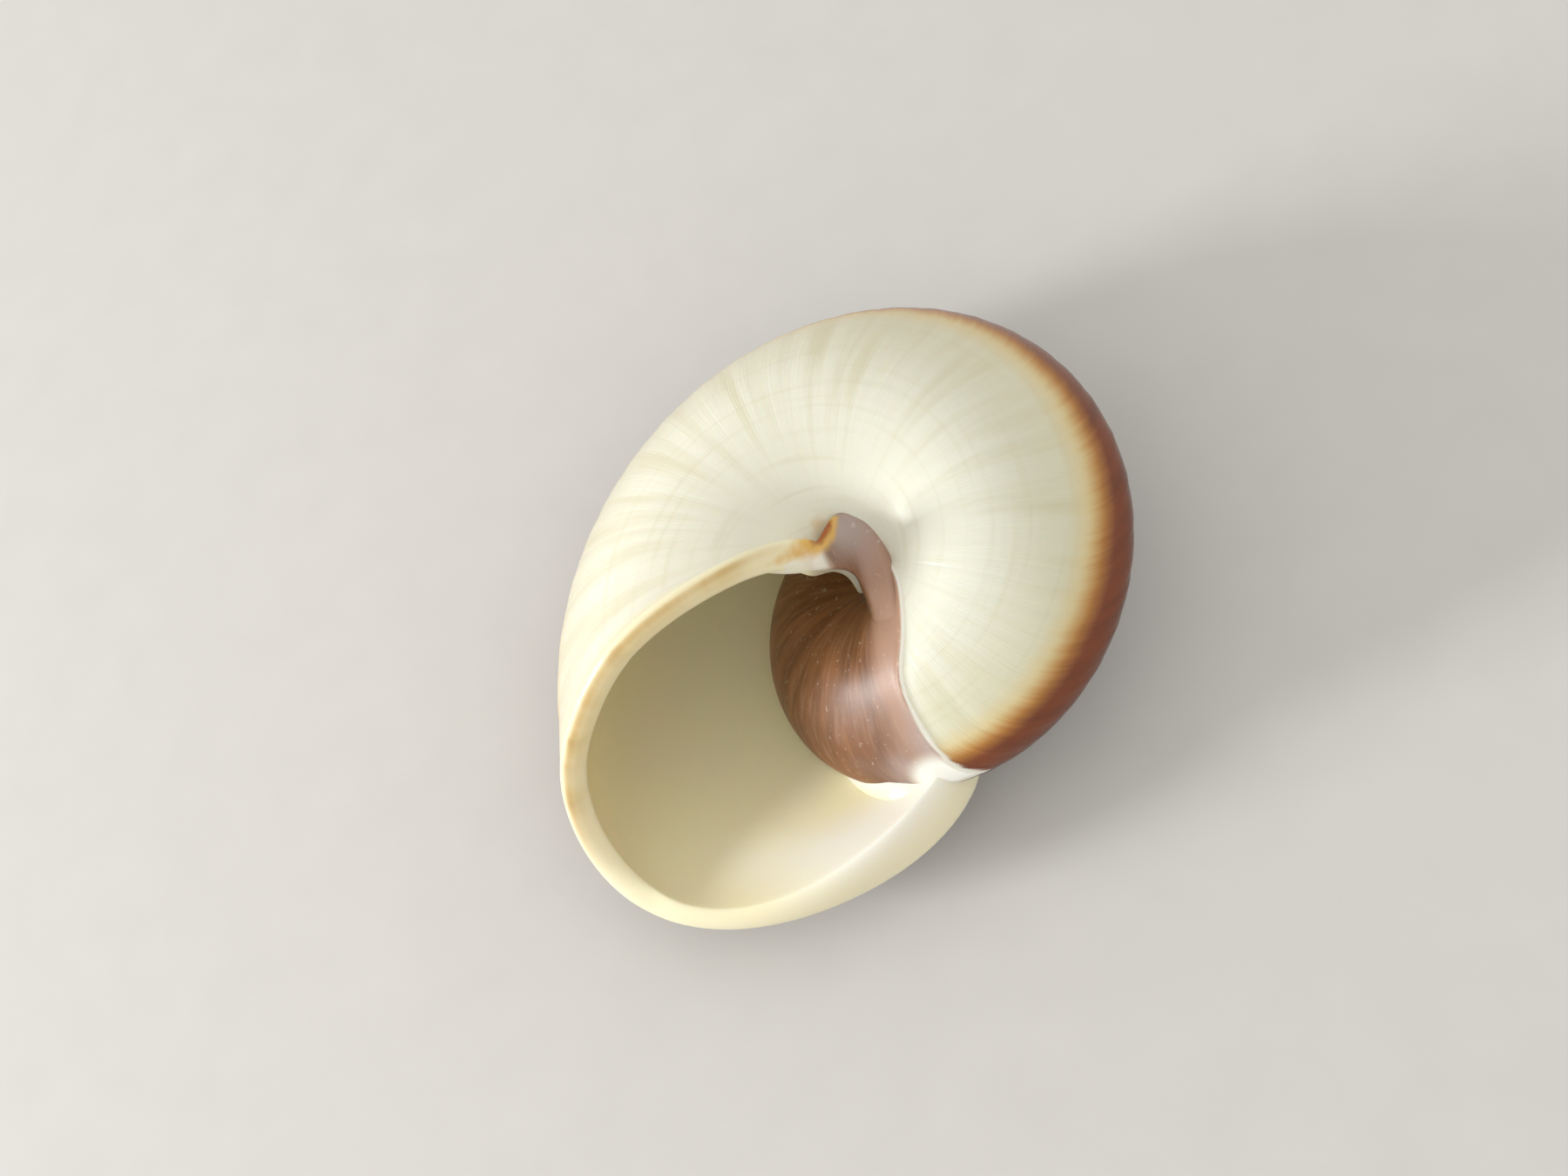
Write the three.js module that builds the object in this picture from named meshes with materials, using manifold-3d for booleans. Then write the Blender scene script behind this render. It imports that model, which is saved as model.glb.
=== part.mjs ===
// Snail shell: one natural piece, a tube that grows along a widening spiral about the coiling axis.
// Millimetres, +Z up. The shell is shaped about its axis with the apex up, then laid down on its spire.
import * as THREE from 'three';
import { mergeVertices } from 'three/addons/utils/BufferGeometryUtils.js';
import Module from 'manifold-3d';

// Driving dimensions, lengths in millimetres and angles in degrees
// How much wider the tube is after each turn about the axis.
const GROWTH_PER_TURN = 2.13;
// Control points of the lip curve, from the suture over the outer side and the base to the columella:
// radius from the axis, height over the apex, and how far the lip runs ahead about the axis there.
const LIP_CURVE = [
  { radius: 15.2, height: -4.7, lead: 70 },
  { radius: 28.7, height: -9.2, lead: 25 },
  { radius: 39.8, height: -15.0, lead: 1 },
  { radius: 35.1, height: -23.8, lead: -17 },
  { radius: 26.7, height: -30.5, lead: -17 },
  { radius: 18.1, height: -34.4, lead: -18 },
  { radius: 8.4, height: -32.6, lead: -17 },
  { radius: 1.6, height: -28.6, lead: -12 },
  { radius: 0.4, height: -19.9, lead: 8 },
  { radius: 3.3, height: -9.7, lead: 50 },
];
// Places along the lip curve, counted in control points.
const COLUMELLA_PLACE = 7.8;
const COLUMELLA_REACH = 0.8;
const PARIETAL_START = 8.4;
const PARIETAL_END = 9.2;

const WALL = 1.3;
const THINNEST_WALL = 0.5;
const LIP_THICKENING = 0.3;
const LIP_THICKENING_SPAN = 14;
const LIP_FLARE = 1.1;
const LIP_FLARE_SPAN = 16;
const LIP_ROUNDING = 1.0;
const COLUMELLA_THICKENING = 0.9;

// The hollow runs this far in from the lip. The small whorls beyond it are solid.
const HOLLOW_TURN = 470;
// The tube is joined from pieces, each short enough not to reach round to its own start.
const MOUTH_PIECE_TURN = 230;
const SPIRE_PIECE_TURN = 240;
const SPIRE_PIECES = 5;
// Each end of a piece is pointed by this turn, so that it runs into the next piece.
const POINTED_END_TURN = 4;
// Pillar about the axis that the whorls wind round.
const PILLAR_TOP = -1;
const PILLAR_SLOPE = 0.13;
const PILLAR_FOOT_HEIGHT = -23;
const PILLAR_FOOT_DOME = 2;

// The shell lies base up with its axis leaning, on spots of the spire and shoulder that are worn flat.
const REST_ROTATION = new THREE.Euler(...[170, 15.2, 162.7].map(THREE.MathUtils.degToRad), 'XYZ');
const WORN_FLAT_DEPTH = 0.15;
const FLOOR_SIZE = 100;

const POINTS_ROUND_TUBE = 32;
const POINTS_ROUND_PILLAR = 16;
const SHELL_COLOUR = 0xe9e2cf;
const SHELL_ROUGHNESS = 0.3;

const wasm = await Module();
wasm.setup();

const { clamp, degToRad, smoothstep } = THREE.MathUtils;
const growthRate = Math.log(GROWTH_PER_TURN) / 360;

// Point of the lip curve at a place along it: a closed cubic B-spline over the control points.
function lipAt(place) {
  const count = LIP_CURVE.length;
  const span = Math.floor(place);
  const t = place - span;
  const weights = [
    (1 - t) ** 3 / 6,
    (3 * t ** 3 - 6 * t ** 2 + 4) / 6,
    (-3 * t ** 3 + 3 * t ** 2 + 3 * t + 1) / 6,
    t ** 3 / 6,
  ];
  const lip = { radius: 0, height: 0, lead: 0 };
  weights.forEach((weight, step) => {
    const control = LIP_CURVE[(span + step - 1 + count) % count];
    lip.radius += weight * control.radius;
    lip.height += weight * control.height;
    lip.lead += weight * control.lead;
  });
  return lip;
}

function scaleAt(turn) {
  return Math.exp(growthRate * turn);
}

// Point of the outer surface. The turn is 0 at the lip and negative towards the apex.
function surfaceAt(turn, place) {
  const lip = lipAt(place);
  const angle = -degToRad(turn + lip.lead);
  const point = new THREE.Vector3(Math.cos(angle) * lip.radius, Math.sin(angle) * lip.radius, lip.height);
  return point.multiplyScalar(scaleAt(turn));
}

// The same point moved outward from the tube and forward along its growth.
function skinPoint(turn, place, outward, forward) {
  const nudge = 0.02;
  const along = surfaceAt(turn + nudge, place).sub(surfaceAt(turn - nudge, place)).normalize();
  const wrapped = LIP_CURVE.length + place;
  const across = surfaceAt(turn, (wrapped + nudge) % LIP_CURVE.length)
    .sub(surfaceAt(turn, (wrapped - nudge) % LIP_CURVE.length));
  const normal = new THREE.Vector3().crossVectors(along, across).normalize();
  return surfaceAt(turn, place).addScaledVector(normal, outward).addScaledVector(along, forward);
}

// One ring round the tube. The outward and forward moves are functions of the place along the lip curve.
function ringAt(turn, outward, forward = () => 0) {
  return Array.from({ length: POINTS_ROUND_TUBE }, (_, index) => {
    const place = (index / POINTS_ROUND_TUBE) * LIP_CURVE.length;
    return skinPoint(turn, place, outward(place), forward(place));
  });
}

// How far the lip is turned outward. It is plain where it meets the older whorl.
function flareAt(place) {
  return LIP_FLARE * (1 - smoothstep(place, PARIETAL_START, PARIETAL_END));
}

function wallAt(turn, place) {
  const fromColumella = (place - COLUMELLA_PLACE) / COLUMELLA_REACH;
  const columella = COLUMELLA_THICKENING * Math.exp(-fromColumella * fromColumella);
  const lip = LIP_THICKENING * Math.exp(turn / LIP_THICKENING_SPAN);
  return Math.max((WALL + columella) * scaleAt(turn), THINNEST_WALL) + lip;
}

function outerRing(turn) {
  const nearLip = clamp(1 + turn / LIP_FLARE_SPAN, 0, 1);
  return ringAt(turn, (place) => flareAt(place) * nearLip ** 2);
}

function innerRing(turn) {
  return ringAt(turn, (place) => -wallAt(turn, place));
}

// Rounded rim, from the outside of the lip to its inside.
function rimRings(steps) {
  return Array.from({ length: steps }, (_, index) => {
    const angle = (Math.PI * (index + 1)) / (steps + 1);
    const middle = (place) => (flareAt(place) - wallAt(0, place)) / 2;
    const half = (place) => (flareAt(place) + wallAt(0, place)) / 2;
    return ringAt(
      0,
      (place) => middle(place) + half(place) * Math.cos(angle),
      () => LIP_ROUNDING * Math.sin(angle),
    );
  });
}

function turnsBetween(from, to, steps) {
  return Array.from({ length: steps + 1 }, (_, index) => from + ((to - from) * index) / steps);
}

function solidFrom(positions, triangles) {
  const vertProperties = new Float32Array(positions);
  const triVerts = new Uint32Array(triangles);
  return new wasm.Manifold(new wasm.Mesh({ numProp: 3, vertProperties, triVerts }));
}

function solidOfGeometry(geometry) {
  geometry.deleteAttribute('normal');
  geometry.deleteAttribute('uv');
  const merged = mergeVertices(geometry);
  return solidFrom(merged.attributes.position.array, merged.index.array);
}

// Triangles between two rings, each four-sided patch split along its shorter diagonal.
function bandTriangles(points, ringStart, nextStart) {
  const triangles = [];
  for (let index = 0; index < POINTS_ROUND_TUBE; index += 1) {
    const after = (index + 1) % POINTS_ROUND_TUBE;
    const [a, b] = [ringStart + index, ringStart + after];
    const [c, d] = [nextStart + index, nextStart + after];
    if (points[b].distanceTo(points[c]) < points[a].distanceTo(points[d])) {
      triangles.push(a, c, b, b, c, d);
    } else {
      triangles.push(a, c, d, a, d, b);
    }
  }
  return triangles;
}

function capTriangles(ringStart, centre, facesForward) {
  const triangles = [];
  for (let index = 0; index < POINTS_ROUND_TUBE; index += 1) {
    const here = ringStart + index;
    const next = ringStart + ((index + 1) % POINTS_ROUND_TUBE);
    triangles.push(...(facesForward ? [centre, next, here] : [centre, here, next]));
  }
  return triangles;
}

// Middle of the tube at a turn.
function middleAt(turn) {
  const ring = outerRing(turn);
  return ring.reduce((sum, point) => sum.add(point), new THREE.Vector3()).divideScalar(ring.length);
}

// Ring in the middle of the wall at a turn.
function midWallRing(turn) {
  return ringAt(turn, (place) => -wallAt(turn, place) / 2);
}

// Solid through a row of rings whose last ring joins the first one: a length of tube with a bore.
function boredSolid(rings) {
  const points = rings.flat();
  const starts = rings.map((_, index) => index * POINTS_ROUND_TUBE);
  const nextStarts = [...starts.slice(1), starts[0]];
  const triangles = starts.flatMap((start, index) => bandTriangles(points, start, nextStarts[index]));
  return solidFrom(points.flatMap((point) => point.toArray()), triangles);
}

// Solid through a row of rings, closed at each end by a cap to the given tip.
function cappedSolid(rings, firstTip, lastTip) {
  const points = [...rings.flat(), firstTip, lastTip];
  const starts = rings.map((_, index) => index * POINTS_ROUND_TUBE);
  const triangles = starts.slice(1).flatMap((start, index) => bandTriangles(points, starts[index], start));
  triangles.push(...capTriangles(0, points.length - 2, false));
  triangles.push(...capTriangles(starts[starts.length - 1], points.length - 1, true));
  return solidFrom(points.flatMap((point) => point.toArray()), triangles);
}

// Last half turn of the tube, with the rounded lip of the mouth.
function mouthPiece() {
  const outside = [...turnsBetween(-MOUTH_PIECE_TURN, -LIP_FLARE_SPAN, 18), -10, -5, -2, 0].map(outerRing);
  const inside = [0, -4, ...turnsBetween(-12, -MOUTH_PIECE_TURN, 15)].map(innerRing);
  const tip = midWallRing(-MOUTH_PIECE_TURN - POINTED_END_TURN);
  return boredSolid([...outside, ...rimRings(4), ...inside, tip]);
}

// Length of hollow tube behind the mouth piece.
function hollowPiece(from, to, steps) {
  const turns = turnsBetween(from, to, steps);
  const outside = turns.map(outerRing);
  const inside = turns.toReversed().map(innerRing);
  const [firstTip, lastTip] = [from - POINTED_END_TURN, to + POINTED_END_TURN].map(midWallRing);
  return boredSolid([...outside, lastTip, ...inside, firstTip]);
}

function spirePiece(from, to, steps) {
  const [firstTip, lastTip] = [from - POINTED_END_TURN, to + POINTED_END_TURN].map(middleAt);
  return cappedSolid(turnsBetween(from, to, steps).map(outerRing), firstTip, lastTip);
}

function pillar() {
  const domeTop = PILLAR_FOOT_HEIGHT + PILLAR_FOOT_DOME;
  const footRadius = -PILLAR_SLOPE * domeTop;
  const dome = new THREE.EllipseCurve(0, domeTop, footRadius, PILLAR_FOOT_DOME, -Math.PI / 2, 0);
  const profile = dome.getPoints(5);
  profile[0].x = 0;
  profile.push(new THREE.Vector2(-PILLAR_SLOPE * PILLAR_TOP, PILLAR_TOP), new THREE.Vector2(0, PILLAR_TOP));
  const geometry = new THREE.LatheGeometry(profile, POINTS_ROUND_PILLAR);
  return solidOfGeometry(geometry.rotateX(Math.PI / 2));
}

function wholeShell() {
  const pieces = [
    pillar(),
    mouthPiece(),
    hollowPiece(-HOLLOW_TURN, -MOUTH_PIECE_TURN, 16),
  ];
  for (let piece = 0; piece < SPIRE_PIECES; piece += 1) {
    const end = -HOLLOW_TURN - piece * SPIRE_PIECE_TURN;
    pieces.push(spirePiece(end - SPIRE_PIECE_TURN, end, 9));
  }
  return pieces.reduce((sum, piece) => sum.add(piece));
}

function geometryOf(solid) {
  const mesh = solid.getMesh();
  const geometry = new THREE.BufferGeometry();
  geometry.setAttribute('position', new THREE.BufferAttribute(mesh.vertProperties, 3));
  geometry.setIndex(new THREE.BufferAttribute(mesh.triVerts, 1));
  return geometry;
}

// The shell turned to its rest pose, worn flat where it touches the floor, its origin under its middle.
function restingShell() {
  const laidGeometry = geometryOf(wholeShell());
  laidGeometry.applyMatrix4(new THREE.Matrix4().makeRotationFromEuler(REST_ROTATION));
  laidGeometry.computeBoundingBox();
  const floorTop = laidGeometry.boundingBox.min.z + WORN_FLAT_DEPTH;
  const floor = new THREE.BoxGeometry(FLOOR_SIZE, FLOOR_SIZE, FLOOR_SIZE);
  floor.translate(0, 0, floorTop - FLOOR_SIZE / 2);
  const worn = geometryOf(solidOfGeometry(laidGeometry).subtract(solidOfGeometry(floor)));
  worn.computeBoundingBox();
  const middle = worn.boundingBox.getCenter(new THREE.Vector3());
  return worn.translate(-middle.x, -middle.y, -worn.boundingBox.min.z);
}

const shell = new THREE.Mesh(
  restingShell(),
  new THREE.MeshStandardMaterial({ color: SHELL_COLOUR, roughness: SHELL_ROUGHNESS, metalness: 0 }),
);
shell.name = 'shell';

const part = new THREE.Group();
part.add(shell);
export default part;
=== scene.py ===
import math

import bpy
import numpy as np
from mathutils import Matrix, Vector


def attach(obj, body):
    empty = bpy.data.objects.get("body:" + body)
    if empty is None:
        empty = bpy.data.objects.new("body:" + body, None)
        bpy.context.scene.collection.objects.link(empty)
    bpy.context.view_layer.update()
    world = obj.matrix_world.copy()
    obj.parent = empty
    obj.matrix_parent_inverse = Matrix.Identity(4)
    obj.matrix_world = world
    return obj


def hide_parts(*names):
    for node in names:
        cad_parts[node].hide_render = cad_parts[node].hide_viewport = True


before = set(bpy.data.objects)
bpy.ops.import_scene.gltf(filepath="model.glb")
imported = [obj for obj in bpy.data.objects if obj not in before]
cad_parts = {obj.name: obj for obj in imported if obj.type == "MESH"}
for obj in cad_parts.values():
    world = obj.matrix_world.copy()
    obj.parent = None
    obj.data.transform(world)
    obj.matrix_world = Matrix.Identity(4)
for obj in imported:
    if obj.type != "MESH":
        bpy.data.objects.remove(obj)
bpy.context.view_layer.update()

# Driving dimensions, lengths in millimetres and angles in degrees
METRE = 0.001
GROWTH_PER_TURN = 2.13
# Control points of the lip curve, from the suture over the outer side and the base to the columella:
# radius from the axis, height over the apex, and how far the lip runs ahead about the axis there.
LIP_CURVE = np.array([
    (15.2, -4.7, 70),
    (28.7, -9.2, 25),
    (39.8, -15.0, 1),
    (35.1, -23.8, -17),
    (26.7, -30.5, -17),
    (18.1, -34.4, -18),
    (8.4, -32.6, -17),
    (1.6, -28.6, -12),
    (0.4, -19.9, 8),
    (3.3, -9.7, 50),
])
# Places along the lip curve, counted in control points
PLACES = len(LIP_CURVE)
COLUMELLA_PLACE = 7.8
COLUMELLA_REACH = 0.8
PARIETAL_START = 8.4
PARIETAL_END = 9.2

WALL = 1.3
THINNEST_WALL = 0.5
LIP_THICKENING = 0.3
LIP_THICKENING_SPAN = 14
LIP_FLARE = 1.1
LIP_FLARE_SPAN = 16
LIP_ROUNDING = 1.0
COLUMELLA_THICKENING = 0.9
# The fine skin is sunk this far, so that its full curves stay inside the faceted CAD shell.
SKIN_SINK = 0.2
# The columellar part of the lip turns back into the mouth: places where that starts and ends, and how far.
LIP_TURNS_BACK = (7.3, 8.3)
LIP_BACK_TURN = 60
LIP_BACK_SPAN = 90
# White pad inside the lip, at the corner where it meets the older whorl
PAD_PLACE = 0.5
PAD_REACH = 0.75
PAD_DEPTH = 3.2
PAD_SPAN = 22
# Small dents in the lip: place along the lip curve, depth, width along the curve
LIP_DENTS = [
    (3.75, 0.3, 0.05),
    (3.42, 0.22, 0.07),
    (3.05, 0.3, 0.04),
    (2.1, 0.25, 0.08),
    (4.9, 0.16, 0.09),
]

# The tube is joined from pieces, each short enough not to reach round to its own start.
MOUTH_END = -230
HOLLOW_END = -470
SPIRE_PIECE_TURN = 240
SPIRE_PIECES = 5
POINTED_END_TURN = 4
# Steps between its rows in degrees of turn, and where the rows change to finer ones
LIP_STEP = 1
MOUTH_STEP = 1.5
CALLUS_STEP = 1.25
CALLUS_STEP_START = -300
HOLLOW_STEP = 2.5
INSIDE_STEP = 3.5
INSIDE_LIP_SPAN = 24
DEEP_INSIDE_STEP = 12
SPIRE_STEP = 5
SPIRE_STEP_GROWTH = 2
RIM_STEPS = 14
# Points of a ring: most of them are on the places that show, and few where the whorls join.
RING_POINTS = 168
SPIRE_RING_POINTS = 88
SHOWN_PLACES = (0.3, 8.6)
SHOWN_SHARE = 0.9

# Pillar about the axis, with a domed foot, and the turn and place that it takes its streaks from
PILLAR_TOP = -1
PILLAR_SLOPE = 0.13
PILLAR_FOOT_HEIGHT = -16
PILLAR_FOOT_DOME = 2
PILLAR_DOME_START = -85
PILLAR_DOME_ROWS = 12
PILLAR_FLANK_ROWS = 50
PILLAR_RING_POINTS = 48
PILLAR_TURN = -320
PILLAR_PLACE = 7

# Lean of the resting shell, and where its apex comes to lie
REST_LEAN = (170, 15.2, 162.7)
APEX_PLACE = np.array([10.154, -6.005, -0.128])

# Curves through points are drawn with so many samples, and their corners are rounded off over some of them.
CURVE_SAMPLES = 400
CALLUS_SOFTNESS = 81
COLUMELLAR_SOFTNESS_ACROSS = 121
COLUMELLAR_SOFTNESS_ALONG = 61
STAIN_SOFTNESS = 41

# Edge of the callus, the glaze that the mouth spreads over the older whorl: place along the lip curve, turn
CALLUS_EDGE = np.array([
    (2.0, -292),
    (2.6, -290.5),
    (3.2, -287),
    (4.2, -286),
    (4.65, -283),
    (5.15, -272),
    (5.7, -259),
    (6.45, -229),
])
# Beside the umbilicus the callus edge runs round it at one place, up to the lip.
CALLUS_TOP_PLACE = 6.68
CALLUS_TOP_TURNS = (-150, -120)
CALLUS_DEPTH = 0.25
CALLUS_FADE = 0.5
CALLUS_BEAD = 0.16
CALLUS_BEAD_WIDTH = 0.4
# The callus stops at the suture, where the older whorl comes out to the spire side.
CALLUS_SUTURE = (2.2, 2.5)

# Growth ripples: height, length along the turn, start
RIPPLES = [
    (0.022, 9.7, 0.4),
    (0.014, 5.3, 2.1),
    (0.009, 3.7, 4.4),
]
RIPPLE_LOSS_ON_CALLUS = 0.8
# Towards the axis, ripples and streaks die out as a degree of turn comes down to so few millimetres.
RIPPLE_REACH = (0.05, 0.5)
STREAK_REACH = (0.03, 0.4)

# Columellar lip, spread over the umbilicus, in the resting shell: points on its crease, its middle,
# its mouth edge and its foot, row by row from the callus over to the outer lip
COLUMELLAR_LIP = np.array([
    ((8.7, -2.2, 19.2), (8.5, -5.0, 17.8), (6.1, -10.4, 18.7), (4.9, -12.2, 18.4)),
    ((7.7, -0.9, 20.6), (7.4, -3.8, 19.4), (5.3, -9.4, 19.1), (4.2, -11.6, 18.6)),
    ((7.0, -0.2, 21.1), (6.7, -3.5, 19.3), (4.4, -8.9, 18.2), (3.2, -11.1, 17.8)),
    ((6.5, 0.3, 21.5), (5.9, -3.1, 19.5), (3.6, -8.1, 17.2), (2.4, -10.3, 17.1)),
    ((5.9, 0.5, 21.8), (5.2, -2.6, 20.3), (3.9, -5.9, 17.4), (3.4, -6.3, 14.8)),
    ((5.1, 0.3, 22.1), (4.6, -2.3, 21.2), (4.3, -4.6, 19.0), (4.3, -3.6, 16.7)),
    ((4.1, -0.6, 22.8), (3.7, -2.6, 22.4), (3.7, -4.1, 20.8), (3.7, -3.4, 19.1)),
    ((3.0, -1.7, 23.8), (2.6, -3.0, 23.6), (2.4, -3.8, 22.3), (2.4, -3.3, 20.9)),
    ((1.6, -2.4, 24.9), (1.1, -3.3, 24.8), (0.8, -3.7, 23.6), (0.8, -3.2, 22.5)),
    ((0.0, -2.7, 26.2), (-0.5, -3.2, 25.9), (-0.9, -3.3, 24.8), (-1.0, -2.9, 24.0)),
    ((-1.7, -2.4, 27.0), (-2.0, -2.6, 26.8), (-2.5, -2.6, 26.2), (-2.5, -2.3, 25.7)),
    ((-3.2, -1.9, 27.0), (-3.4, -2.0, 26.8), (-3.6, -2.0, 26.5), (-3.6, -1.8, 26.2)),
])
COLUMELLAR_ROWS = 96
COLUMELLAR_FRONT_POINTS = 48
# Rows of it between which the brown glaze gives way to the cream of the lip
COLUMELLAR_GLAZE_ENDS = (6.2, 8.4)
# Growth streaks of the callus run on over it: turns along its rows and places across.
COLUMELLAR_TURNS = (-266, -365)
COLUMELLAR_PLACES = (7.6, 5.25)
COLUMELLAR_OUTWARD = np.array([0.02, -0.42, 0.906])
COLUMELLAR_DIVE = 1.5
# It is thick on the columella and thins out into the lip: depths at rows.
COLUMELLAR_BACK = np.array([(0, 5.0), (4, 5.0), (7, 2.6), (9, 1.6), (11, 0.7)])

# Fillet between the older whorl and the inside of the lip, from deep in the mouth out to the lip's corner
FILLET_START = -70
FILLET_ROWS = 60
FILLET_FACE_POINTS = 32
FILLET_WIDTH_GROWS = (-55, -10)
FILLET_WIDTH_ENDS = (-12, -1)
FILLET_WIDTH_ON_LIP = 2.0
FILLET_WIDTH_ON_WHORL = 2.6
FILLET_LEAST_SHARE = 0.01
# How far it runs on straight from the lip and from the older whorl, as shares of its width
FILLET_RUN_ON_LIP = 0.2
FILLET_RUN_ON_WHORL = 0.45
FILLET_SUNK = 0.8
FILLET_TUCK = 0.12
# Place that it takes its colour from, and where across it the lip's colour gives way to the callus
FILLET_PLACE = 8.0
FILLET_COLOUR_CHANGE = (0.2, 0.7)
# The join that it fills: turns of the older whorl there, the last place on the lip's inside,
# and how far past the fillet's start the join is looked for
JOIN_OLDER_TURNS = (-400, -280)
JOIN_LAST_PLACE = 2
JOIN_MARGIN = 10
JOIN_CURVE_DEGREE = 4

# Marks on the glaze, in the resting shell: middle, reach and strength of each soft spot.
# The stain is drawn out into many spots along its path.
STAIN_PATH = np.array([
    (5.2, 0.4, 22.2, 0.9, 0.9),
    (4.4, -0.2, 22.8, 1.5, 1.0),
    (3.3, -1.1, 23.6, 1.6, 1.0),
    (2.2, -1.9, 24.6, 1.5, 0.75),
    (1.0, -2.3, 25.6, 1.2, 0.6),
    (-0.2, -2.6, 26.4, 0.8, 0.5),
    (-2.0, -2.6, 27.3, 0.5, 0.35),
])
STAIN_SPOTS = 40
LAVENDER_MARKS = np.array([
    (5.4, -1.0, 21.2, 2.7, 1.0),
    (2.0, -20.3, 15.3, 2.6, 0.9),
    (2.3, -18.0, 16.5, 1.8, 0.6),
    (-1.5, -20.2, 12.0, 2.2, 0.7),
])
WHITE_MARKS = np.array([
    (0.5, -22.6, 11.8, 3.0, 1.0),
    (3.6, -23.6, 12.6, 2.4, 1.0),
    (-2.6, -21.4, 8.8, 2.0, 0.8),
])

# Studio
CAMERA_PLACE = (1.4, -70.1, 165.8)
CAMERA_RIGHT = (0.8344, -0.4920, -0.2486)
CAMERA_BACK = (0.0203, -0.4232, 0.9058)
CAMERA_LENS = 41.0
CAMERA_SENSOR = 36
CAMERA_NEAREST = 1
SHELL_MIDDLE = Vector((0, 0, 13))
KEY_DIRECTION = Vector((-0.93, 0.22, 0.29))
KEY_DISTANCE = 600
KEY_SIZE = 150
KEY_POWER = 2.8
FILL_COLOUR = (1.0, 0.985, 0.95, 1)
FILL_STRENGTH = 0.85
FLOOR_SIZE = 6000


def smoothstep(low, high, value):
    part = np.clip((value - low) / (high - low), 0, 1)
    return part * part * (3 - 2 * part)


def bell(value, middle, reach):
    return np.exp(-(((value - middle) / reach) ** 2))


# The spiral tube

growth_rate = math.log(GROWTH_PER_TURN) / 360


def lip_at(place):
    """Radius, height and lead of the lip curve, a closed cubic B-spline over its control points."""
    span = np.floor(place).astype(int)
    t = (place - span)[..., None]
    weights = [
        (1 - t) ** 3 / 6,
        (3 * t ** 3 - 6 * t ** 2 + 4) / 6,
        (-3 * t ** 3 + 3 * t ** 2 + 3 * t + 1) / 6,
        t ** 3 / 6,
    ]
    lip = sum(weight * LIP_CURVE[(span + step - 1) % PLACES] for step, weight in enumerate(weights))
    return lip[..., 0], lip[..., 1], lip[..., 2]


def scale_at(turn):
    return np.exp(growth_rate * turn)


def surface_at(turn, place):
    """Point of the outer surface. The turn is 0 at the lip and negative towards the apex."""
    radius, height, lead = lip_at(place)
    angle = -np.radians(turn + lead)
    points = np.stack([np.cos(angle) * radius, np.sin(angle) * radius, height], -1)
    return points * scale_at(turn)[..., None]


def unit(vectors):
    return vectors / np.linalg.norm(vectors, axis=-1, keepdims=True)


def skin_point(turn, place, outward, forward):
    """The same point moved outward from the tube and forward along its growth."""
    nudge = 0.02
    along = unit(surface_at(turn + nudge, place) - surface_at(turn - nudge, place))
    across = surface_at(turn, place + nudge) - surface_at(turn, place - nudge)
    normal = unit(np.cross(along, across))
    return surface_at(turn, place) + normal * outward[..., None] + along * forward[..., None]


def flare_at(turn, place):
    near_lip = np.clip(1 + turn / LIP_FLARE_SPAN, 0, 1)
    return LIP_FLARE * (1 - smoothstep(PARIETAL_START, PARIETAL_END, place)) * near_lip ** 2


def wall_at(turn, place):
    wall = WALL + COLUMELLA_THICKENING * bell(place, COLUMELLA_PLACE, COLUMELLA_REACH)
    lip = LIP_THICKENING * np.exp(turn / LIP_THICKENING_SPAN)
    pad = PAD_DEPTH * bell(place, PAD_PLACE, PAD_REACH) * np.exp(turn / PAD_SPAN)
    return np.maximum(wall * scale_at(turn), THINNEST_WALL) + lip + pad


def lip_dent(place):
    return sum(depth * bell(place, middle, width) for middle, depth, width in LIP_DENTS)


def lip_back(turn, place):
    """How far the tube is cut back about the axis, next to the lip, at its columellar part."""
    share = smoothstep(*LIP_TURNS_BACK, place) * (1 - smoothstep(PARIETAL_END, PLACES, place))
    return -LIP_BACK_TURN * share * smoothstep(-LIP_BACK_SPAN, 0, turn)


# Relief of the outside

def eased(points, at, softness):
    """Value of a curve through the points, with its corners rounded off."""
    fine = np.linspace(points[0, 0], points[-1, 0], CURVE_SAMPLES)
    kernel = np.hanning(softness)
    straight = np.interp(fine, points[:, 0], points[:, 1])
    padded = np.pad(straight, len(kernel) // 2, "reflect", reflect_type="odd")
    return np.interp(at, fine, np.convolve(padded, kernel / kernel.sum(), "valid"))


def eased_net(net, count, softness):
    """Net of points drawn out to so many points along its first side, with its corners rounded off."""
    number = np.arange(len(net), dtype=float)
    fine = np.linspace(0, len(net) - 1, count)
    flat = net.reshape(len(net), -1)
    drawn = [eased(np.stack([number, column], -1), fine, softness) for column in flat.T]
    return np.stack(drawn, -1).reshape(count, *net.shape[1:])


def spread(turn, place):
    """Millimetres along the surface for one degree of turn, and for one place along the lip curve."""
    nudge = 0.01
    here = surface_at(turn, place)
    per_turn = np.linalg.norm(surface_at(turn + nudge, place) - here, axis=-1) / nudge
    per_place = np.linalg.norm(surface_at(turn, place + nudge) - here, axis=-1) / nudge
    return per_turn, per_place


def callus_inset(turn, place):
    """How far inside the callus edge a point lies, in millimetres along the surface."""
    nudge = 0.01
    per_turn, per_place = spread(turn, place)
    edge = eased(CALLUS_EDGE, place, CALLUS_SOFTNESS)
    next_edge = eased(CALLUS_EDGE, place + nudge, CALLUS_SOFTNESS)
    slant = (next_edge - edge) / nudge * per_turn / per_place
    beside = (edge - turn) * per_turn / np.sqrt(1 + slant ** 2)
    on_top = (place - CALLUS_TOP_PLACE) * per_place
    return np.maximum(beside, on_top)


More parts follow.
